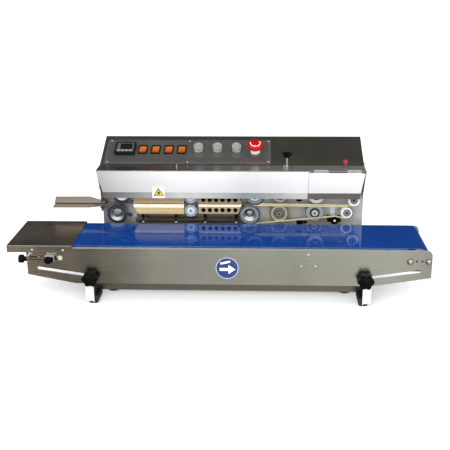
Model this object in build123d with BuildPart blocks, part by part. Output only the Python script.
from build123d import *
import math
import os

# Continuous band sealer, bench model, in millimetres.
# World frame: +X is the way the bags travel, +Y points from the operator to the
# machine's back, +Z up.  Z = 0 is the table, the origin is the middle of the footprint.
# All helpers take drawing coordinates instead: x from the conveyor's left tip,
# y from the conveyor's front panel and z from the belt's top face.

# ---------------------------------------------------------------------------
# driving dimensions
# ---------------------------------------------------------------------------
overall_length = 950.0
overall_depth = 370.0
belt_height = 138.0          # belt's top face above the table
conveyor_depth = 170.0       # outside width over both side panels
front_knob_reach = 30.0      # clamp knobs stand this far before the front panel
seal_plane = 38.5            # sealing plane above the conveyor belt

left_x = -overall_length / 2                    # drawing origin in the world frame
front_y = -overall_depth / 2 + front_knob_reach
floor_z = -belt_height                          # table in drawing coordinates

# base tray
tray_height = 24.5
foot_height = 7.5
tray_bottom = floor_z + foot_height
tray_top = tray_bottom + tray_height
tray_feet = [(x, y) for x in (222, 768) for y in (84, 318)]

# head's upright back panel
panel_front = 228.0
panel_back = 230.0
panel_top = 137.0
shelf_bottom, shelf_top = 80.0, 82.5            # shelf that carries the springs

# sealing wheels and band
band_radius = 25.0           # inner radius of the band on its wheels
wheel_radius = band_radius - 0.05
band_thickness = 0.4
band_gap = 0.4               # from the sealing plane to either band
lower_z = seal_plane - band_gap - band_thickness - band_radius
upper_z = seal_plane + band_gap + band_thickness + band_radius

# wheel axes (x, z), named by wheel
lower_infeed = (216.8, lower_z)
upper_infeed = (231.0, upper_z)
lower_drive = (543.0, lower_z)
upper_drive = (555.8, upper_z)
lower_press = (399.3, 21.6)
upper_press = (399.3, 55.6)
lower_emboss = (615.3, 15.5)
upper_emboss = (616.9, 63.9)
lower_feed = (701.6, 17.5)
upper_feed = (705.0, 62.2)
lower_end = (779.0, 19.5)
upper_end = (795.0, 50.9)
tensioner = (750.0, -0.4)
wheel_axes = [
    lower_infeed, upper_infeed, lower_drive, upper_drive, lower_press, upper_press,
    lower_emboss, upper_emboss, lower_feed, upper_feed, lower_end, upper_end, tensioner,
]

# gears
gear_module = 1.5
gear_teeth = 35
pinion_teeth = 18
gear_front, gear_back = 234, 242
motor_axis = (lower_drive[0] - 40.2, lower_drive[1])

# console slope: rises from the back edge of a level ledge
ledge_z = 140.5
slope_foot_y = 184.0
slope_depth, slope_rise = 102.0, 46.5
slope_length = math.hypot(slope_depth, slope_rise)
slope_normal = (0.0, -slope_rise / slope_length, slope_depth / slope_length)
slope_up = (0.0, slope_depth / slope_length, slope_rise / slope_length)

# console furniture: x along the console, "up" measured up its slope
rocker_xs = (281.8, 313.6, 345.4, 377.4)
rocker_up = 57.2
dial_xs = (418.0, 464.0, 510.6)
dial_up = 57.5
estop_x, estop_up = 556.0, 52.0
ledge_knob_y = 172
pressure_x, push_x = 631.0, 768.3

# conveyor
roller_radius = 26.0
roller_rim = roller_radius - 0.05               # roller surface, just clear of the belt
belt_thickness = 1.5
side_sheet = 1.5
drive_axis = (922.0, -27.5)
idler_axis = (97.0, -27.5)
screw_y, screw_z = -7, idler_axis[1]            # tension screw's axis

# legs and their clamp bolts (x, z)
left_bolt = (188.5, -70.5)
right_bolt = (804.0, -70.5)
bolt_radius = 2.95
bolt_hole = bolt_radius + 0.05
clamp_slot_run, clamp_slot_rise = 119.0, 18.0
leg_depth = 46.0             # front-to-back depth of each leg's foot

os.makedirs("parts", exist_ok=True)


# ---------------------------------------------------------------------------
# drawing helpers
# ---------------------------------------------------------------------------

def world(x, y, z):
    """World point of a drawing point."""
    return (left_x + x, front_y + y, belt_height + z)


def level_plane(x, y, z):
    return Plane(origin=world(x, y, z))


def front_plane(x, y, z):
    """Plane drawn in x and z; a negative extrusion runs towards the back."""
    return Plane(origin=world(x, y, z), x_dir=(1, 0, 0), z_dir=(0, -1, 0))


def side_plane(x, y, z):
    """Plane drawn in y and z, facing +X."""
    return Plane(origin=world(x, y, z), x_dir=(0, 1, 0), z_dir=(1, 0, 0))


def save(builder, label):
    builder.part.label = label
    export_step(builder.part, "parts/" + label + ".step")


def slab(x0, x1, y0, y1, z0, z1, mode=Mode.ADD):
    """Rectangular block between two corners."""
    with BuildSketch(level_plane((x0 + x1) / 2, (y0 + y1) / 2, z0)) as outline:
        Rectangle(x1 - x0, y1 - y0)
    extrude(outline.sketch, amount=z1 - z0, mode=mode)


def plate_xz(points, y0, y1, mode=Mode.ADD):
    """Plate drawn in x and z, thick from y0 to y1."""
    with BuildSketch(front_plane(0, y0, 0)) as outline:
        with BuildLine():
            Polyline(*points, close=True)
        make_face()
    extrude(outline.sketch, amount=-(y1 - y0), mode=mode)


def plate_yz(points, x0, x1, mode=Mode.ADD):
    """Plate drawn in y and z, thick from x0 to x1."""
    with BuildSketch(side_plane(x0, 0, 0)) as outline:
        with BuildLine():
            Polyline(*points, close=True)
        make_face()
    extrude(outline.sketch, amount=x1 - x0, mode=mode)


def turned(axis, points):
    """Piece turned about a front-to-back axis (x, z), profile as (radius, y)."""
    origin = world(axis[0], 0, axis[1])
    with BuildSketch(Plane(origin=origin, x_dir=(1, 0, 0), z_dir=(0, 0, 1))) as profile:
        with BuildLine():
            Polyline(*points, close=True)
        make_face()
    revolve(profile.sketch, axis=Axis(origin, (0, 1, 0)))


def rod_y(x, z, radius, y0, y1, mode=Mode.ADD):
    with BuildSketch(front_plane(x, y0, z)) as section:
        Circle(radius)
    extrude(section.sketch, amount=-(y1 - y0), mode=mode)


def rod_x(y, z, radius, x0, x1, mode=Mode.ADD):
    with BuildSketch(side_plane(x0, y, z)) as section:
        Circle(radius)
    extrude(section.sketch, amount=x1 - x0, mode=mode)


def rod_z(x, y, radius, z0, z1, mode=Mode.ADD):
    with BuildSketch(level_plane(x, y, z0)) as section:
        Circle(radius)
    extrude(section.sketch, amount=z1 - z0, mode=mode)


def slope_plane(x, up, out=0.0):
    """Plane parallel to the console slope, "out" in front of it."""
    return Plane(
        origin=world(
            x,
            slope_foot_y + slope_up[1] * up + slope_normal[1] * out,
            ledge_z + slope_up[2] * up + slope_normal[2] * out,
        ),
        x_dir=(1, 0, 0),
        z_dir=slope_normal,
    )


def slope_box(x0, x1, up0, up1, out0, out1, mode=Mode.ADD, corner=0.0):
    with BuildSketch(slope_plane((x0 + x1) / 2, (up0 + up1) / 2, out0)) as outline:
        if corner > 0:
            RectangleRounded(x1 - x0, up1 - up0, corner)
        else:
            Rectangle(x1 - x0, up1 - up0)
    extrude(outline.sketch, amount=out1 - out0, mode=mode)


def slope_centred_box(x, up, half_x, half_up, out0, out1, mode=Mode.ADD, corner=0.0):
    slope_box(x - half_x, x + half_x, up - half_up, up + half_up, out0, out1, mode, corner)


def slope_rod(x, up, radius, out0, out1, mode=Mode.ADD):
    with BuildSketch(slope_plane(x, up, out0)) as section:
        Circle(radius)
    extrude(section.sketch, amount=out1 - out0, mode=mode)


def slope_turned(x, up, points):
    """Piece turned about the slope's normal, profile as (radius, out)."""
    base = slope_plane(x, up)
    cross_plane = Plane(origin=base.origin, x_dir=(1, 0, 0), z_dir=base.x_dir.cross(base.z_dir))
    with BuildSketch(cross_plane) as profile:
        with BuildLine():
            Polyline(*points, close=True)
        make_face()
    revolve(profile.sketch, axis=Axis(base.origin, base.z_dir))


def gear(axis, teeth, phase, y0, y1):
    """Spur gear about (x, z); phase in degrees from +x towards +z, a tooth centred on it."""
    pitch_radius = teeth * gear_module / 2
    tip = pitch_radius + gear_module * 0.95
    root = pitch_radius - gear_module * 1.25
    # one tooth: radius, angle as a fraction of the pitch
    tooth = (
        (root, -0.29), (pitch_radius, -0.215), (tip, -0.115),
        (tip, 0.115), (pitch_radius, 0.215), (root, 0.29),
    )
    pitch = 2 * math.pi / teeth
    points = []
    for i in range(teeth):
        centre = math.radians(phase) + i * pitch
        for radius, fraction in tooth:
            angle = centre + fraction * pitch
            points.append((axis[0] + radius * math.cos(angle), axis[1] + radius * math.sin(angle)))
    plate_xz(points, y0, y1)


# Loops that run around wheels.  A circle is (x, z, radius, turn); turn is +1 when
# the loop goes round it clockwise in (x, z), -1 otherwise.

def tangent(circle1, circle2):
    """Points where a loop leaves circle 1 and meets circle 2."""
    x1, z1, radius1, turn1 = circle1
    x2, z2, radius2, turn2 = circle2
    distance = math.hypot(x2 - x1, z2 - z1)
    run_x, run_z = (x2 - x1) / distance, (z2 - z1) / distance
    left_normal_x, left_normal_z = -run_z, run_x
    along = (turn1 * radius1 - turn2 * radius2) / distance
    across = math.sqrt(1 - along * along)
    # unit vector from a circle's centre to its tangent point
    unit_x = run_x * along + left_normal_x * across
    unit_z = run_z * along + left_normal_z * across
    return (
        (x1 + turn1 * radius1 * unit_x, z1 + turn1 * radius1 * unit_z),
        (x2 + turn2 * radius2 * unit_x, z2 + turn2 * radius2 * unit_z),
    )


def round_cord(circles, y, radius):
    """Closed round cord in the plane y: straight runs and bends, circles in running order."""
    next_circles = circles[1:] + circles[:1]
    lines = [tangent(here, following) for here, following in zip(circles, next_circles)]
    next_lines = lines[1:] + lines[:1]
    with BuildLine(front_plane(0, y, 0)) as path:
        for (start, end), (bend_end, _), circle in zip(lines, next_lines, next_circles):
            Line(start, end)
            x, z, bend_radius, turn = circle
            angle0 = math.atan2(end[1] - z, end[0] - x)
            angle1 = math.atan2(bend_end[1] - z, bend_end[0] - x)
            if turn > 0:
                while angle1 > angle0:
                    angle1 -= 2 * math.pi
            else:
                while angle1 < angle0:
                    angle1 += 2 * math.pi
            middle = (angle0 + angle1) / 2
            bend_middle = (x + bend_radius * math.cos(middle), z + bend_radius * math.sin(middle))
            ThreePointArc(end, bend_middle, bend_end)
    start, end = lines[0]
    direction = (end[0] - start[0], 0, end[1] - start[1])
    with BuildSketch(Plane(origin=world(start[0], y, start[1]), z_dir=direction)) as section:
        Circle(radius)
    sweep(section.sketch, path=path.wires()[0])


def flat_band(axis1, axis2, radius, thickness, y0, y1):
    """Flat band round two equal wheels."""
    run, rise = axis2[0] - axis1[0], axis2[1] - axis1[1]
    length = math.hypot(run, rise)
    tilt = math.degrees(math.atan2(rise, run))
    middle = front_plane((axis1[0] + axis2[0]) / 2, y0, (axis1[1] + axis2[1]) / 2)
    with BuildSketch(middle) as outline:
        SlotCenterToCenter(length, 2 * (radius + thickness), rotation=tilt)
        SlotCenterToCenter(length, 2 * radius, rotation=tilt, mode=Mode.SUBTRACT)
    extrude(outline.sketch, amount=-(y1 - y0))


# ---------------------------------------------------------------------------
# base
# ---------------------------------------------------------------------------

# folded tray, open below; notched where the legs pass
with BuildPart() as base_tray:
    slab(187, 810, 62, 340, tray_bottom, tray_top)
    slab(160, 204, 64, 184, tray_bottom - 1, tray_top + 1, mode=Mode.SUBTRACT)
    slab(788, 840, 64, 184, tray_bottom - 1, tray_top + 1, mode=Mode.SUBTRACT)
    slab(206, 786, 64, 338, tray_bottom - 1, tray_top - 2, mode=Mode.SUBTRACT)
    slab(189, 808, 186, 338, tray_bottom - 1, tray_top - 2, mode=Mode.SUBTRACT)
    # foot pads inside the corners
    for foot_x, foot_y in tray_feet:
        rod_z(foot_x, foot_y, 12, tray_bottom, tray_top - 1)
save(base_tray, "base_tray")

# rubber feet under the pads, chamfered at the table
with BuildPart() as base_feet:
    for foot_x, foot_y in tray_feet:
        rod_z(foot_x, foot_y, 15, floor_z, tray_bottom)
    chamfer(base_feet.edges().filter_by(GeomType.CIRCLE).group_by(Axis.Z)[0], 1.5)
save(base_feet, "base_feet")

# ---------------------------------------------------------------------------
# head: back panel, housing, covers
# ---------------------------------------------------------------------------
shaft_hole = 7
spring_y = 210                       # bolts and springs of the upper blocks
heater_bolt_xs = (280, 360)
cooling_bolt_xs = (434, 508)

with BuildPart() as back_panel:
    panel_outline = [(177, tray_top), (820.6, tray_top), (820.6, panel_top), (177, panel_top)]
    plate_xz(panel_outline, panel_front, panel_back)
    slab(200, 790, panel_back, 248, tray_top, tray_top + 2)      # foot flange
    for axis_x, axis_z in wheel_axes:
        rod_y(axis_x, axis_z, shaft_hole, panel_front - 1, panel_back + 1, mode=Mode.SUBTRACT)
    # short level slot to the right of the emboss wheels
    with BuildSketch(front_plane(664.3, panel_front - 1, 40.5)) as short_slot:
        SlotOverall(14, 5.7)
    extrude(short_slot.sketch, amount=-4, mode=Mode.SUBTRACT)
    # room for the temperature controller's case
    slab(211, 268, panel_front - 1, panel_back + 1, 104, panel_top + 1, mode=Mode.SUBTRACT)
    # shelf above the upper blocks, with holes for their bolts
    slab(262, 520, 201, panel_front + 0.5, shelf_bottom, shelf_top)
    for bolt_x in heater_bolt_xs + cooling_bolt_xs:
        rod_z(bolt_x, spring_y, 3.06, shelf_bottom - 1, shelf_top + 1.5, mode=Mode.SUBTRACT)
save(back_panel, "back_panel")


def cut_slope_openings(out0):
    """Openings for the controller, rockers, dials and emergency stop."""
    slope_box(216.0, 263.0, 37.0, 78.0, out0, 2, mode=Mode.SUBTRACT)
    for x in rocker_xs:
        slope_centred_box(x, rocker_up, 9.7, 14.7, out0, 2, mode=Mode.SUBTRACT)
    for x in dial_xs:
        slope_rod(x, dial_up, 3.05, out0, 2, mode=Mode.SUBTRACT)
    slope_rod(estop_x, estop_up, 11, out0, 2, mode=Mode.SUBTRACT)


# section of the housing (y, z)
housing_outline = [
    (133, ledge_z), (slope_foot_y, ledge_z),
    (slope_foot_y + slope_depth, ledge_z + slope_rise), (291, 187), (340, 150), (340, tray_top),
    (231, tray_top), (231, 62), (173.9, 62), (173.9, 76), (135.9, 139), (133, 139),
]
housing_inside = [
    (100, 139), (184.33, 139), (286.32, 185.5), (290.5, 185.5), (338.5, 149.25),
    (338.5, tray_top - 4), (100, tray_top - 4),
]
with BuildPart() as console_housing:
    plate_yz(housing_outline, 184, 813.8)
    plate_yz(housing_inside, 185.5, 812.3, mode=Mode.SUBTRACT)
    # slit for the back panel
    slab(180, 818, panel_front - 0.2, panel_back + 0.2, tray_top - 1, panel_top + 0.2,
         mode=Mode.SUBTRACT)
    cut_slope_openings(-6)
    rod_z(pressure_x, ledge_knob_y, 4.05, 130, 142, mode=Mode.SUBTRACT)
    rod_z(push_x, ledge_knob_y, 3.05, 130, 142, mode=Mode.SUBTRACT)
    # louvres in the rear wall for the motor
    for louvre_x in range(455, 552, 16):
        slab(louvre_x, louvre_x + 6, 337, 342, 20, 70, mode=Mode.SUBTRACT)
save(console_housing, "console_housing")

# both front covers slant back and down to the same short upright lip (y, z)
cover_lip = [(173.6, 76.2), (173.6, 61.5), (172.1, 61.5), (172.1, 75.8)]

with BuildPart() as main_cover:
    plate_yz([(133.0, 138.8), (134.75, 138.8)] + cover_lip, 184, 681.8)
    left_cut = [(180, 140), (184, 140), (184, 136), (189.5, 76.2), (189.5, 58), (180, 58)]
    plate_xz(left_cut, 130, 176, mode=Mode.SUBTRACT)
save(main_cover, "main_cover")

with BuildPart() as print_guard:
    plate_yz([(133.4, 136.6), (135.2, 136.6)] + cover_lip, 682.4, 811.5)
    right_cut = [(816, 138), (811.5, 138), (811.5, 135), (807.2, 76.2), (807.2, 58), (816, 58)]
    plate_xz(right_cut, 130, 176, mode=Mode.SUBTRACT)
    # rolled hinge barrels on the top edge
    for barrel_x0, barrel_x1 in ((692, 727), (770, 803)):
        rod_x(134.6, 137.3, 1.4, barrel_x0, barrel_x1)
save(print_guard, "print_guard")

# two folded guides that lead the bag's mouth into the sealing plane
with BuildPart() as infeed_guide:
    # upper lip, leaning back as it rises
    lip_plane = Plane(origin=world(0, 197, 40.4), x_dir=(1, 0, 0), z_dir=(0, -0.615, 0.789))
    with BuildSketch(lip_plane) as upper_lip:
        with BuildLine():
            Polyline((64, 0), (64, 19), (148, 20), (194, 5), (194, 0), close=True)
        make_face()
    extrude(upper_lip.sketch, amount=-1.2)
    # lower lip, upright
    plate_xz([(64, 37.7), (57.5, 28), (150, 28.5), (194, 34), (194, 37.7)], 197, 198.2)
    # level leaves above and below the film
    slab(64, 192, 198, 222, 39.3, 40.5)
    slab(64, 192, 198, 222, 36.5, 37.7)
    # upright bracket, slit for the film, with two screw heads
    slab(178.5, 180.5, 198, 227.9, 18, 82)
    slab(176, 183, 190, 222.5, 37.7, 39.3, mode=Mode.SUBTRACT)
    for head_z in (26.8, 77.6):
        rod_x(210, head_z, 4.5, 174.5, 178.6)
save(infeed_guide, "infeed_guide")

# ---------------------------------------------------------------------------
# console furniture
# ---------------------------------------------------------------------------
with BuildPart() as control_plate:
    slope_box(192, 594, 6, 97, 0, 1.2)
    cut_slope_openings(-1)
save(control_plate, "control_plate")

with BuildPart() as temperature_controller:
    slope_box(216.2, 262.8, 37.2, 77.8, -50, 1.3)                # case
    slope_box(215, 264, 36, 79, 1.2, 9, corner=2)                # bezel
    # sunk face with a raised window and four keys
    slope_box(219, 260, 41, 75, 7.5, 10, mode=Mode.SUBTRACT, corner=1.5)
    slope_box(227.2, 256.0, 52.0, 73.0, 7.4, 8.2, corner=1)
    for key_x in (220.8, 230.4, 240.0, 249.6):
        slope_box(key_x, key_x + 6.8, 43, 48.6, 7.4, 8.6, corner=1)
save(temperature_controller, "temperature_controller")

# body, rim and well of each rocker switch
with BuildPart() as switch_bodies:
    for rocker_x in rocker_xs:
        slope_centred_box(rocker_x, rocker_up, 9.6, 14.6, -18, 1.3)
        slope_centred_box(rocker_x, rocker_up, 11.2, 16, 1.2, 3.2, corner=1.5)
        slope_centred_box(rocker_x, rocker_up, 8.5, 13.4, -15, 4, mode=Mode.SUBTRACT)
save(switch_bodies, "switch_bodies")

rocker_radius = 12.8
rocker_half_width = 8.3
rocker_tilt = -9.0                   # degrees
rocker_out = -2.0                    # rocker's centre below the slope


def rocker_outline():
    """Two end arcs joined by kinks at bottom and top, tilted, as (up, out)."""

    def end_arc(first_angle):
        angles = [math.radians(first_angle - 48 * k / 4) for k in range(5)]
        return [(rocker_radius * math.cos(a), rocker_radius * math.sin(a)) for a in angles]

    points = end_arc(28) + [(0, -7)] + end_arc(200) + [(0, 4.2)]
    cosine, sine = math.cos(math.radians(rocker_tilt)), math.sin(math.radians(rocker_tilt))
    return [(x * cosine - y * sine, x * sine + y * cosine) for x, y in points]


def rocker(x):
    base = slope_plane(x - rocker_half_width, rocker_up, rocker_out)
    with BuildSketch(Plane(origin=base.origin, x_dir=slope_up, z_dir=(1, 0, 0))) as outline:
        with BuildLine():
            Polyline(*rocker_outline(), close=True)
        make_face()
    extrude(outline.sketch, amount=2 * rocker_half_width)


rocker_labels = ("heater_switch", "motor_switch", "printer_switch", "fan_switch")
for label, rocker_x in zip(rocker_labels, rocker_xs):
    with BuildPart() as rocker_part:
        rocker(rocker_x)
    save(rocker_part, label)

dial_profile = [
    (0, -9), (3, -9), (3, 1.8), (11.4, 1.8), (11.4, 15.0), (10.6, 15.8), (0, 15.8),
]
flute_count = 14


def dial(x):
    """Straight dial with a fluted grip, a pointer rib and its spindle."""
    slope_turned(x, dial_up, dial_profile)
    # flutes leave a gap of 50 degrees at the pointer
    for k in range(flute_count):
        angle = math.radians(90 + 25 + 310 * k / (flute_count - 1))
        slope_rod(x + 12.0 * math.cos(angle), dial_up + 12.0 * math.sin(angle), 1.3, 3.6, 19,
                  mode=Mode.SUBTRACT)
    slope_box(x - 0.8, x + 0.8, dial_up + 2, dial_up + 10.2, 15.6, 16.6)


for label, dial_x in zip(("speed_dial", "print_delay_dial", "cooling_dial"), dial_xs):
    with BuildPart() as dial_part:
        dial(dial_x)
    save(dial_part, label)

# threaded collar and the ring behind the slope
with BuildPart() as estop_collar:
    slope_turned(estop_x, estop_up, [
        (8.05, -12), (10.9, -12), (10.9, 1.2), (12.2, 1.2), (12.2, 2.8), (11.5, 8.6), (8.05, 8.6),
    ])
    slope_turned(estop_x, estop_up, [(10.8, -6), (15, -6), (15, -1.6), (10.8, -1.6)])
save(estop_collar, "estop_collar")

with BuildPart() as estop_button:
    slope_turned(estop_x, estop_up, [
        (0, -9), (8, -9), (8, 15.2), (16.8, 15.2), (18.9, 17.6), (19.2, 21.4), (18.3, 24.2),
        (14, 26.2), (7, 27.2), (0, 27.5),
    ])
save(estop_button, "estop_button")

# pressure star knob: rod through the ledge, as (radius, z0, z1), and five-lobed grip
with BuildPart() as pressure_knob:
    for radius, z0, z1 in ((4, 122, 144.5), (2.3, 144, 166), (5.6, 141.0, 143.0),
                           (6.2, 163.4, 168.4)):
        rod_z(pressure_x, ledge_knob_y, radius, z0, z1)
    with BuildSketch(level_plane(pressure_x, ledge_knob_y, 168)) as star:
        Circle(8.2)
        with PolarLocations(8.3, 5):
            Circle(3.5)
    extrude(star.sketch, amount=6.8)
    fillet(pressure_knob.faces().sort_by(Axis.Z)[-1].edges(), 1.3)
save(pressure_knob, "pressure_knob")

# push knob that trips a print, as (radius, z0, z1)
with BuildPart() as print_push_knob:
    for radius, z0, z1 in ((3, 122, 146), (2.4, 145.5, 151), (5.6, 149.4, 157.6)):
        rod_z(push_x, ledge_knob_y, radius, z0, z1)
    fillet(print_push_knob.edges().filter_by(GeomType.CIRCLE).sort_by(Axis.Z)[-1], 2.0)
save(print_push_knob, "print_push_knob")

# ---------------------------------------------------------------------------
# wheels, each in one piece with its shaft; profiles as (radius, y)
# ---------------------------------------------------------------------------
shaft = [(7, 227.4), (4, 227.4), (4, 234), (8, 234), (8, 238), (0, 238)]
gear_shaft = [(7, 227.4), (4, 227.4), (4, 243), (0, 243)]

infeed_profile = [
    (0, 195.5), (4.4, 195.5), (5, 197), (8, 197), (8, 201.8), (17.4, 199.0), (17.4, 198.2),
    (23.8, 198.2), (wheel_radius, 199.4), (wheel_radius, 213.8), (23.8, 215), (7, 215),
]
# drive wheels have a groove for the guide cord at the front
drive_profile = [
    (0, 194.5), (4.6, 194.5), (4.6, 200.4), (15.6, 196.6), (15.6, 195.2), (23.2, 195.2),
    (23.2, 196.1), (22.05, 197.4), (22.05, 199.6), (23.2, 200.9), (wheel_radius, 201.6),
    (wheel_radius, 213.8), (23.8, 215), (7, 215),
]
# hub with a ribbed rim
press_profile = [
    (0, 197), (4, 197), (4.6, 198.4), (10.5, 198.4), (10.5, 199.6), (12, 199.6), (12, 198.6),
    (14.8, 198.6), (15.5, 199.4), (15.5, 202.5), (14.9, 203), (14.9, 203.8), (15.5, 204.3),
    (15.5, 207.5), (14.9, 208), (14.9, 208.8), (15.5, 209.3), (15.5, 213), (14.8, 214), (7, 214),
]
# stepped rings
emboss_profile = [
    (0, 196), (3.4, 196), (4.2, 197.2), (6.6, 197.2), (7.2, 198.4), (8.6, 198.4), (8.6, 202.2),
    (12, 202.2), (12, 200.8), (14.4, 200.8), (15, 202.4), (18.6, 202.4), (18.6, 200.9),
    (22.4, 200.9), (23.3, 201.8), (23.3, 214), (22.4, 215), (7, 215),
]
# stepped hub, flat disc and rim
feed_profile = [
    (0, 196), (2.6, 196), (2.6, 197), (6, 197), (6.4, 198.2), (7.8, 198.2), (7.8, 201.2),
    (12, 201.2), (12, 202.4), (20.4, 202.4), (21.5, 203.4), (21.5, 214), (20.6, 215), (7, 215),
]
# end pulleys, grooved for the round cord
end_pulley_hub = [
    (0, 194.6), (3, 194.6), (3.4, 195.6), (7, 195.6), (7, 196.6), (9, 196.6), (9, 195.2),
    (13.4, 195.2),
]
lower_end_profile = end_pulley_hub + [
    (13.4, 196.6), (13.2, 197.0), (13.2, 200.2), (15.2, 201.0), (15.2, 202.4), (7, 202.4),
]
upper_end_profile = end_pulley_hub + [
    (14, 195.6), (13.2, 196.2), (10.5, 197.0), (10.5, 200.0), (13.2, 200.8), (14, 201.4),
    (13.4, 202.4), (7, 202.4),
]
# small roller that tensions the lower cord
tensioner_profile = [
    (0, 195), (2.6, 195), (2.6, 196), (8.6, 196), (9.8, 196.2), (8.6, 197.2), (8.6, 199.8),
    (9.8, 200.8), (8.6, 201.4), (7, 201.4),
]

plain_wheels = (
    ("lower_infeed_wheel", lower_infeed, infeed_profile),
    ("upper_infeed_wheel", upper_infeed, infeed_profile),
    ("lower_press_roller", lower_press, press_profile),
    ("upper_press_roller", upper_press, press_profile),
    ("lower_emboss_wheel", lower_emboss, emboss_profile),
    ("upper_emboss_wheel", upper_emboss, emboss_profile),
    ("lower_feed_wheel", lower_feed, feed_profile),
    ("upper_feed_wheel", upper_feed, feed_profile),
    ("lower_end_pulley", lower_end, lower_end_profile),
    ("upper_end_pulley", upper_end, upper_end_profile),
    ("cord_tensioner", tensioner, tensioner_profile),
)
for label, axis, profile in plain_wheels:
    with BuildPart() as wheel:
        turned(axis, profile + shaft)
    save(wheel, label)

# drive wheels: a tooth of the lower gear faces a tooth space of the upper one
mesh_angle = math.degrees(
    math.atan2(upper_drive[1] - lower_drive[1], upper_drive[0] - lower_drive[0])
)
drive_wheels = (
    ("lower_drive_wheel", lower_drive, mesh_angle),
    ("upper_drive_wheel", upper_drive, mesh_angle + 180 + 180.0 / gear_teeth),
)
for label, axis, phase in drive_wheels:
    with BuildPart() as wheel:
        turned(axis, drive_profile + gear_shaft)
        gear(axis, gear_teeth, phase, gear_front, gear_back)
    save(wheel, label)

# flanged bushes pressed into the back panel
bush_bore = 4.05
with BuildPart() as shaft_bushes:
    for axis in wheel_axes:
        turned(axis, [
            (bush_bore, panel_front), (shaft_hole, panel_front), (shaft_hole, panel_back),
            (9.5, panel_back), (9.5, 233.5), (bush_bore, 233.5),
        ])
save(shaft_bushes, "shaft_bushes")

with BuildPart() as sealing_bands:
    flat_band(lower_infeed, lower_drive, band_radius, band_thickness, 202, 213)
    flat_band(upper_infeed, upper_drive, band_radius, band_thickness, 202, 213)
save(sealing_bands, "sealing_bands")

cord_y = 198.5
cord_radius = 1.8
drive_cord_radius = 23.9             # cord's centre line round a drive wheel
with BuildPart() as guide_cords:
    round_cord(
        [(*lower_drive, drive_cord_radius, 1), (*lower_end, 15.1, 1), (*tensioner, 10.5, -1)],
        cord_y, cord_radius,
    )
    round_cord(
        [(*upper_drive, drive_cord_radius, 1), (*upper_end, 12.4, 1)], cord_y, cord_radius
    )
save(guide_cords, "guide_cords")

# ---------------------------------------------------------------------------
# heater and cooling blocks
# ---------------------------------------------------------------------------
lower_block_top = seal_plane - 1.1
upper_block_bottom = seal_plane + 1.1
block_front, block_back = 198.5, 216
heater_right = 382.5
cooling_left, cooling_right = 418.4, 523.8
heater_bottom, heater_top = 12, 64
cooling_bottom, cooling_top = 13.8, 62.5
heater_bore_y, heater_bore = 208, 5
vent_xs = [430.2 + 15.6 * k for k in range(6)]
vent_radius = 5.4
block_bolt_radius = 3
block_bolt_top = 85.5


def cut_nose(start_z, x0, x1):
    """Slopes the front of a lower block's top edge, from start_z upwards."""
    nose = [(198, start_z), (block_front, start_z), (201.1, 38.4), (198, 38.4)]
    plate_yz(nose, x0, x1, mode=Mode.SUBTRACT)


with BuildPart() as lower_heater_block:
    plate_xz([
        (269.5, heater_bottom), (heater_right, heater_bottom), (heater_right, lower_block_top),
        (258.5, lower_block_top), (257, 35.5),
    ], block_front, block_back)
    chamfer(lower_heater_block.edges().filter_by(Axis.X).group_by(Axis.Y)[0], 1.2)
    cut_nose(29.4, 250, 390)
    rod_x(heater_bore_y, 22, heater_bore, 250, 390, mode=Mode.SUBTRACT)
save(lower_heater_block, "lower_heater_block")

with BuildPart() as upper_heater_block:
    plate_xz([
        (258.5, upper_block_bottom), (heater_right, upper_block_bottom),
        (heater_right, heater_top), (266, heater_top), (257, 41.5),
    ], block_front, block_back)
    chamfer(upper_heater_block.edges().filter_by(Axis.X).group_by(Axis.Y)[0], 1.2)
    rod_x(heater_bore_y, 52, heater_bore, 250, 390, mode=Mode.SUBTRACT)
    for bolt_x in heater_bolt_xs:
        rod_z(bolt_x, spring_y, block_bolt_radius, heater_top - 1, block_bolt_top)
save(upper_heater_block, "upper_heater_block")

with BuildPart() as lower_cooling_block:
    plate_xz([
        (cooling_left, cooling_bottom), (514, cooling_bottom),
        (cooling_right, lower_block_top), (cooling_left, lower_block_top),
    ], block_front, block_back)
    cut_nose(32.4, 410, 530)
    for vent_x in vent_xs:
        rod_y(vent_x, 23.6, vent_radius, 190, 211, mode=Mode.SUBTRACT)
save(lower_cooling_block, "lower_cooling_block")

with BuildPart() as upper_cooling_block:
    plate_xz([
        (cooling_left, upper_block_bottom), (cooling_right, upper_block_bottom),
        (516, cooling_top), (cooling_left, cooling_top),
    ], block_front, block_back)
    for vent_x in vent_xs:
        rod_y(vent_x, 49.4, vent_radius, 190, 211, mode=Mode.SUBTRACT)
    for bolt_x in cooling_bolt_xs:
        rod_z(bolt_x, spring_y, block_bolt_radius, cooling_top - 0.5, block_bolt_top)
save(upper_cooling_block, "upper_cooling_block")

# rail under the lower blocks with its short posts (x, top)
with BuildPart() as block_rail:
    slab(262, 520, 201, 213, -8, -1)
    slab(262, 520, 213, 228, -4, -1)
    slab(262, 520, 225, 228, -9, 6)
    for post_x, post_top in ((286.8, heater_bottom), (362.4, heater_bottom),
                             (434.7, cooling_bottom), (510.4, cooling_bottom)):
        rod_z(post_x, 207, 2.6, -2, post_top)
save(block_rail, "block_rail")

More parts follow.
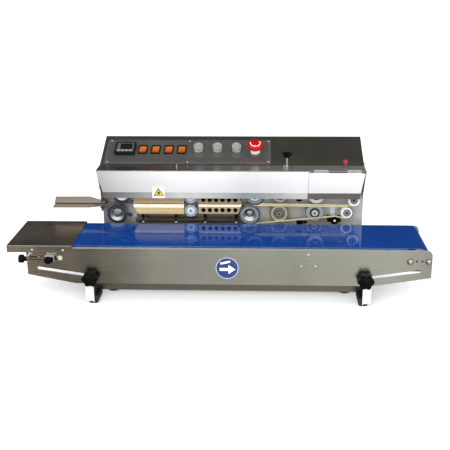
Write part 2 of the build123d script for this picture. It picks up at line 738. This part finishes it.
# compression springs between the shelf and the upper blocks
spring_play = 0.1                    # left free at each end
spring_inset = 0.6                   # from the spring's end to the wire's centre line
spring_turns = 4
spring_seats = [(x, heater_top) for x in heater_bolt_xs]
spring_seats += [(x, cooling_top) for x in cooling_bolt_xs]
with BuildPart() as pressure_springs:
    for seat_x, seat_z in spring_seats:
        coil_bottom = seat_z + spring_play + spring_inset
        rise = shelf_bottom - spring_play - spring_inset - coil_bottom
        with BuildLine() as coil:
            Helix(
                pitch=rise / spring_turns, height=rise, radius=4.6,
                center=world(seat_x, spring_y, coil_bottom),
            )
        with BuildSketch(Plane(origin=coil.line @ 0, z_dir=coil.line % 0)) as wire:
            Circle(0.55)
        sweep(wire.sketch, path=coil.line)
save(pressure_springs, "pressure_springs")

# ---------------------------------------------------------------------------
# drive
# ---------------------------------------------------------------------------
with BuildPart() as geared_motor:
    motor_x, motor_z = motor_axis
    # gearbox with four stand-offs to the back panel, then the round motor
    slab(motor_x - 36, motor_x + 36, 248, 276, motor_z - 30, motor_z + 42)
    chamfer(geared_motor.edges().filter_by(Axis.Y), 4)
    for offset_x, offset_z in ((-30, -24), (-30, 36), (8, 36), (2, -24)):
        rod_y(motor_x + offset_x, motor_z + offset_z, 4, panel_back, 249)
    rod_y(motor_x, motor_z + 6, 31, 275, 330)
    rod_y(motor_x, motor_z, 5.05, 240, 258, mode=Mode.SUBTRACT)
save(geared_motor, "geared_motor")

with BuildPart() as motor_pinion:
    rod_y(*motor_axis, 5, gear_front, 256)
    # turned with the drive gear, then by half a tooth
    pinion_phase = gear_teeth / pinion_teeth * (180.0 - mesh_angle) + 180.0 / pinion_teeth
    gear(motor_axis, pinion_teeth, pinion_phase, gear_front, gear_back)
save(motor_pinion, "motor_pinion")

# ---------------------------------------------------------------------------
# conveyor
# ---------------------------------------------------------------------------
panel_edge = -2.4                    # top edge of the side panels
lip_x0, lip_x1 = 150, 893            # rolled top edges
lip_width = 5.4
lip_radius = 2.6
boss_radius = 12


def clamp_slot(bolt, side):
    """Inclined slot through both panels, from the bolt outwards (side -1 or 1) and up."""
    middle_x = bolt[0] + side * clamp_slot_run / 2
    middle_z = bolt[1] + clamp_slot_rise / 2
    angle = math.degrees(math.atan2(clamp_slot_rise, clamp_slot_run))
    with BuildSketch(front_plane(middle_x, -3, middle_z)) as outline:
        SlotCenterToCenter(
            math.hypot(clamp_slot_run, clamp_slot_rise), 6.6, rotation=side * angle
        )
    extrude(outline.sketch, amount=-180, mode=Mode.SUBTRACT)


side_panel = [
    (43, panel_edge), (43, -67.8), (151.5, -89), (820.6, -89),
    (overall_length, -67.8), (overall_length, panel_edge),
]
with BuildPart() as conveyor_frame:
    plate_xz(side_panel, 0, side_sheet)
    plate_xz(side_panel, conveyor_depth - side_sheet, conveyor_depth)
    top_right = conveyor_frame.edges().filter_by(Axis.Y).group_by(Axis.X)[-1].group_by(Axis.Z)[-1]
    fillet(top_right, 14)
    # rolled top edges beside the belt: square bars, then their outer corners cut round
    slab(lip_x0, lip_x1, 0, lip_width, -5.4, panel_edge)
    slab(lip_x0, lip_x1, conveyor_depth - lip_width, conveyor_depth, -5.4, panel_edge)
    lip_arc = [
        (lip_radius - lip_radius * math.cos(math.radians(angle)),
         panel_edge - lip_radius + lip_radius * math.sin(math.radians(angle)))
        for angle in range(0, 91, 15)
    ]
    outside = [(-0.5, -5.0)] + lip_arc + [(lip_radius, -1.9), (-0.5, -1.9)]
    plate_yz(outside, lip_x0, lip_x1, mode=Mode.SUBTRACT)
    mirrored_outside = [(conveyor_depth - y, z) for y, z in outside]
    plate_yz(mirrored_outside, lip_x0, lip_x1, mode=Mode.SUBTRACT)
    # slider bed under the belt's upper run
    slab(137, 895, 1.2, conveyor_depth - 1.2, -3.6, -2.0)
    # tie bars
    for bar_x in (300, 700):
        rod_y(bar_x, -70, 5, 1, conveyor_depth - 1)
    # bearing bosses of the drive roller and their bores
    rod_y(*drive_axis, boss_radius, 1.2, 5)
    rod_y(*drive_axis, boss_radius, conveyor_depth - 5, conveyor_depth - 1.2)
    rod_y(*drive_axis, 6.05, 2.2, conveyor_depth + 2, mode=Mode.SUBTRACT)
    clamp_slot(left_bolt, -1)
    clamp_slot(right_bolt, 1)
    # level slots of the idler axle
    with BuildSketch(front_plane(idler_axis[0], -3, idler_axis[1])) as axle_slot:
        SlotOverall(54, 10.1)
    extrude(axle_slot.sketch, amount=-180, mode=Mode.SUBTRACT)
    # sighting holes by the drive roller, in the front panel only
    for hole_x in (916.2, 927.8):
        rod_y(hole_x, -28.5, 2.4, -1, 2.2, mode=Mode.SUBTRACT)
    # lug of the tension screw
    slab(47, 51, -13, 0.2, -34, -20)
    rod_x(screw_y, screw_z, 2.55, 40, 60, mode=Mode.SUBTRACT)
save(conveyor_frame, "conveyor_frame")

with BuildPart() as conveyor_belt:
    flat_band(idler_axis, drive_axis, roller_radius, belt_thickness, 6.5, conveyor_depth - 6.5)
save(conveyor_belt, "conveyor_belt")

with BuildPart() as infeed_plate:
    slab(0, 147.5, -2.2, conveyor_depth + 2.2, -14.3, 1.9)
    slab(1.5, 150, -0.7, conveyor_depth + 0.7, -16, 0.4, mode=Mode.SUBTRACT)
    chamfer(infeed_plate.edges().filter_by(Axis.X).group_by(Axis.Z)[-1], 0.6)
save(infeed_plate, "infeed_plate")

# screw places (x, z) with the head's profile (radius, y)
end_screws = ((901.8, -29.4), (942.3, -29.0))
rear_face = conveyor_depth
conveyor_screw_groups = (
    (((676.6, -16), (661.6, -43.6), (692.9, -43.3)),
     [(0, -2.4), (1.6, -2.2), (3, -1.2), (3, 0), (0, 0)]),
    (((57.6, -8.8), (127.5, -9.1)),
     [(0, -4.2), (1.5, -4), (2.8, -3.2), (2.8, -2.2), (0, -2.2)]),
    (end_screws,
     [(0, -5.4), (3.6, -5.2), (5.2, -3.8), (5.2, -1.2), (7.5, -1.2), (7.5, 0), (0, 0)]),
    (end_screws,
     [(0, rear_face + 4), (5, rear_face + 4), (5, rear_face), (0, rear_face)]),
)
with BuildPart() as conveyor_screws:
    for places, profile in conveyor_screw_groups:
        for place in places:
            turned(place, profile)
save(conveyor_screws, "conveyor_screws")

# drum with bevelled rims (radius, y), shared by both rollers
drum = [
    (24, 6.3), (roller_rim, 8.3), (roller_rim, rear_face - 8.3), (24, rear_face - 6.3),
]

# drum, journals and a grooved pulley behind the rear panel
with BuildPart() as drive_roller:
    turned(drive_axis, [(0, 2.6), (6, 2.6), (6, 6), (10, 6), (10, 6.3)] + drum + [
        (10, rear_face - 6.3), (10, rear_face - 6), (6, rear_face - 6), (6, rear_face + 1.6),
        (14, rear_face + 1.6), (14, rear_face + 3), (11.4, rear_face + 4.4),
        (11.4, rear_face + 8.6), (14, rear_face + 10), (14, rear_face + 11), (0, rear_face + 11),
    ])
save(drive_roller, "drive_roller")

# idler axle with its front cap, a block for the tension screw and a rear cap
with BuildPart() as tension_axle:
    rod_y(*idler_axis, 4.95, -2, conveyor_depth + 4)
    slab(87, 107, -13, -1.6, -34.5, -20.5)
    rod_y(idler_axis[0] - 1, idler_axis[1], 8.4, -19, -12.9)
    rod_x(screw_y, screw_z, 2.55, 80, 103, mode=Mode.SUBTRACT)
    rod_y(*idler_axis, 9, conveyor_depth + 1, conveyor_depth + 6)
save(tension_axle, "tension_axle")

with BuildPart() as idler_roller:
    turned(idler_axis, [(5, 6.3)] + drum + [(5, rear_face - 6.3)])
save(idler_roller, "idler_roller")

# eight-sided grip, then neck, screw and collar as (radius, x0, x1)
with BuildPart() as tension_knob:
    with BuildSketch(side_plane(28, screw_y, screw_z)) as grip:
        RegularPolygon(10, 8)
    extrude(grip.sketch, amount=10)
    chamfer(tension_knob.faces().sort_by(Axis.X)[0].edges(), 1.4)
    for radius, x0, x1 in ((5.5, 38, 46.6), (2.5, 46, 96), (4.6, 51.4, 54)):
        rod_x(screw_y, screw_z, radius, x0, x1)
save(tension_knob, "tension_knob")

# ---------------------------------------------------------------------------
# legs, drawn at the left; place() maps x to the leg or to its mirror image
# ---------------------------------------------------------------------------
leg_x0, leg_x1 = 190, 192            # upright leg plate
leg_front = (-2.2, -0.3)             # y range of the front flange
leg_rear = (170.3, 172.2)            # y range of the rear flange


def left_place(x):
    return x


def right_place(x):
    return left_bolt[0] + right_bolt[0] - x


leg_sides = (("left", left_place), ("right", right_place))


def leg_slab(place, x0, x1, y0, y1, z0, z1, mode=Mode.ADD):
    low_x, high_x = sorted((place(x0), place(x1)))
    slab(low_x, high_x, y0, y1, z0, z1, mode)


def leg(place):
    """Yoke: bridge plate over the base tray from a front foot to a rear foot, and
    flanges front and rear that carry the clamp bolt."""
    bolt_x, bolt_z = left_bolt
    foot_z = floor_z + 3
    rear_foot = conveyor_depth - leg_depth
    low_x, high_x = sorted((place(leg_x0), place(leg_x1)))
    plate_yz([
        (leg_front[0], foot_z), (leg_depth, foot_z), (leg_depth, -105), (rear_foot, -105),
        (rear_foot, foot_z), (leg_rear[1], foot_z), (leg_rear[1], -106.5), (166.5, -106.5),
        (166.5, -90.5), (3.5, -90.5), (3.5, -106.5), (leg_front[0], -106.5),
    ], low_x, high_x)
    leg_slab(place, 176, leg_x1, 3.5, 166.5, -99, -97)           # stiffening flange
    for y0, y1 in (leg_front, leg_rear):
        leg_slab(place, 172.5, leg_x1, y0, y1, floor_z + 6.4, -84)
    for y0, y1 in (leg_front, leg_rear):
        leg_slab(place, bolt_x - 8.5, bolt_x + 8.5, y0, y1, -88, bolt_z + 8)
        rod_y(place(bolt_x), bolt_z, bolt_hole, y0 - 1, y1 + 1, mode=Mode.SUBTRACT)


def nut(place):
    """Square nut behind the front panel, on the clamp bolt."""
    bolt_x, bolt_z = left_bolt
    leg_slab(place, bolt_x - 5.5, bolt_x + 5.5, 1.7, 5.2, bolt_z - 5.5, bolt_z + 5.5)
    rod_y(place(bolt_x), bolt_z, bolt_hole, 1, 6, mode=Mode.SUBTRACT)


# section of a rubber shoe, rounded below: x from the shoe's middle, z from the table
shoe_outline = [
    (-4.5, 0), (4.5, 0), (8.2, 1.2), (10.4, 3.6), (11, 7), (11, 16), (9, 18), (-9, 18),
    (-11, 16), (-11, 7), (-10.4, 3.6), (-8.2, 1.2),
]


def shoes(place):
    """Rubber shoes pushed over both feet, slit for the leg plate."""
    slit_x0, slit_x1 = leg_x0 - 0.05, leg_x1 + 0.05
    slit_z0, slit_z1 = floor_z + 3, floor_z + 19
    rear_foot = conveyor_depth - leg_depth
    for y0, y1 in ((-0.25, leg_depth + 3), (rear_foot - 3, conveyor_depth + 0.25)):
        with BuildSketch(front_plane(place(190), y0, floor_z)) as outline:
            with BuildLine():
                Polyline(*shoe_outline, close=True)
            make_face()
        extrude(outline.sketch, amount=-(y1 - y0))
        for slit_y0, slit_y1 in ((-3, leg_depth + 0.05), (rear_foot - 0.05, 173)):
            leg_slab(place, slit_x0, slit_x1, slit_y0, slit_y1, slit_z0, slit_z1,
                     mode=Mode.SUBTRACT)


grip_back, grip_front = -8, -25      # y range of the clamp knob's lobed grip
lobe_radius = 5.8


def clamp_knob(place):
    """Six-lobed clamp knob with its bolt."""
    x, z = place(left_bolt[0]), left_bolt[1]
    turned((x, z), [
        (0, -9), (11, -9), (9, -6), (8, -2.6), (bolt_radius, -2.6), (bolt_radius, 5.2), (0, 5.2),
    ])
    with BuildSketch(front_plane(x, grip_back, z)) as grip_outline:
        Circle(15)
        with PolarLocations(13.0, 6):
            Circle(lobe_radius)
    extrude(grip_outline.sketch, amount=grip_back - grip_front)
    turned((x, z), [
        (0, -24), (12.5, -24), (12.5, -25), (9, -28), (5, -29.5), (0, -front_knob_reach),
    ])


def is_front_lobe_edge(edge):
    at_front = abs(edge.center().Y - (front_y + grip_front)) < 0.6
    return abs(edge.radius - lobe_radius) < 0.3 and at_front


for side, place in leg_sides:
    with BuildPart() as leg_part:
        leg(place)
        nut(place)
    save(leg_part, side + "_leg")

    with BuildPart() as shoe_part:
        shoes(place)
    save(shoe_part, side + "_leg_shoes")

    with BuildPart() as knob_part:
        clamp_knob(place)
        circles = knob_part.edges().filter_by(GeomType.CIRCLE)
        fillet(circles.filter_by(is_front_lobe_edge), 2.6)
    save(knob_part, side + "_clamp_knob")

# ---------------------------------------------------------------------------
# screws of the control plate (x, up) and small pins on the ledge
# ---------------------------------------------------------------------------
with BuildPart() as head_screws:
    for screw_x, screw_up in ((201, 93), (394, 93), (588, 93), (201, 11), (394, 11), (588, 13)):
        slope_turned(screw_x, screw_up, [(0, 1.2), (2.6, 1.2), (2.6, 2.0), (1.6, 2.9), (0, 3.1)])
    rod_z(371, 167, 2, ledge_z, 147)
    rod_z(371, 167, 3.2, ledge_z, 141.6)
    rod_z(624.5, 166, 1.7, ledge_z, 146.5)
save(head_screws, "head_screws")
